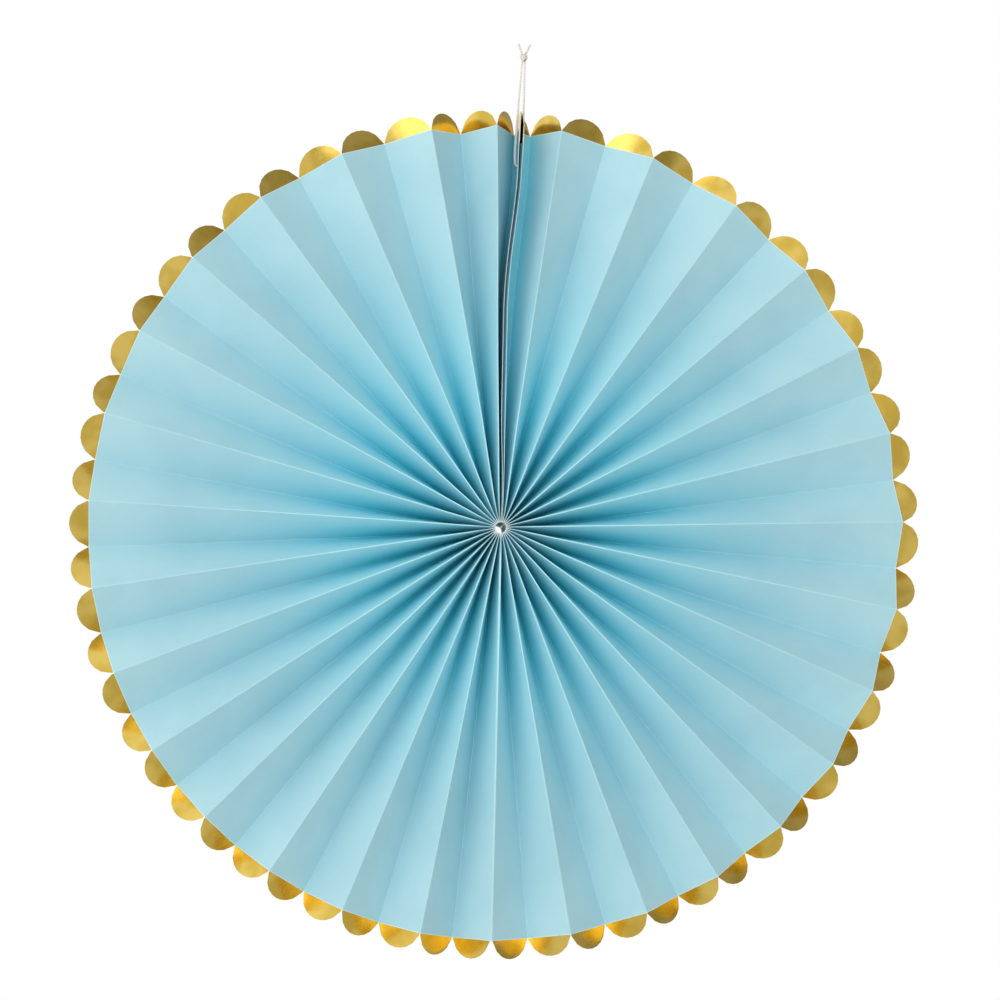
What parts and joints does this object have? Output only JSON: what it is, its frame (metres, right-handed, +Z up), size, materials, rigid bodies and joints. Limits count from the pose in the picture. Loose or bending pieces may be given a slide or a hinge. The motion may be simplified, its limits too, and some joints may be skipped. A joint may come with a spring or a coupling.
{
  "type": "paper fan rosette",
  "caption": "Pleated blue card fan opened into a full circle, with a scalloped gold foil-card edge, a taped seam and a short white hanging loop.",
  "frame": {"origin": "inside top of the hanging loop, just under its knot, where a hook or nail carries the rosette", "axes": "+Z up along the seam, from the hub to the hanging loop; -Y out of the decorated front; +X to the right as seen from the front"},
  "size_m": [0.3991, 0.0275, 0.4327],
  "materials": {
    "blue_card": "matte sky-blue card",
    "gold_foil": "card faced with bright gold foil",
    "clear_tape": "double-sided tape",
    "white_thread": "polyester thread",
    "white_cord": "twisted cotton cord"
  },
  "bodies": {
    "root": {"pleated_strip_right": "blue_card", "pleated_strip_left": "blue_card", "gold_trim_right": "gold_foil", "gold_trim_left": "gold_foil", "seam_tape": "clear_tape", "tie_thread": "white_thread", "hanging_loop": "white_cord", "loop_knot": "white_cord"}
  },
  "joints": []
}
